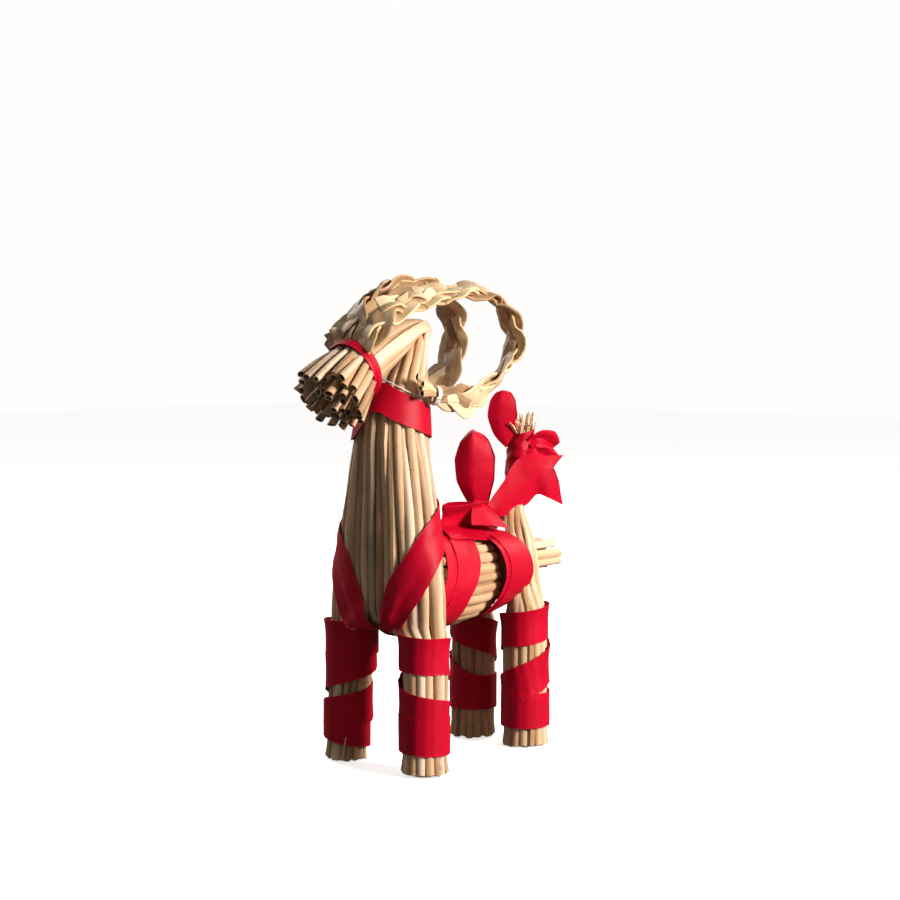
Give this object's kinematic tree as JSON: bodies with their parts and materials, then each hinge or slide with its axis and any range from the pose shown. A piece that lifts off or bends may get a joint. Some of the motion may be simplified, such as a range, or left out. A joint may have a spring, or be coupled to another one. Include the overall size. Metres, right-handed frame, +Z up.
{
  "type": "straw goat ornament",
  "caption": "Standing goat of bundled straw with plaited looped horns, bound with satin ribbon at muzzle, neck, chest, body, legs and tail.",
  "frame": {"origin": "centre of the footprint's bounding box, on the surface the goat stands on", "axes": "+Z up, -Y the way the goat faces, +X the goat's left side"},
  "size_m": [0.0656, 0.1464, 0.201],
  "materials": {
    "straw": "dry, slightly glossy natural straw",
    "plait": "dry flattened straw",
    "ribbon": "red satin",
    "thread": "white cotton thread"
  },
  "bodies": {
    "root": {"fore_bundle": "straw", "body_bundle": "straw", "hind_bundle": "straw", "horn_left": "plait", "horn_right": "plait", "collar_ribbon": "ribbon", "chest_ribbon": "ribbon", "front_leg_ribbon_left": "ribbon", "front_leg_ribbon_right": "ribbon", "hind_leg_ribbon_left": "ribbon", "hind_leg_ribbon_right": "ribbon", "front_body_band": "ribbon", "rear_body_band": "ribbon", "back_bow": "ribbon", "tail_bow": "ribbon", "muzzle_ribbon": "ribbon", "horn_thread_left": "thread", "horn_thread_right": "thread"}
  },
  "joints": []
}
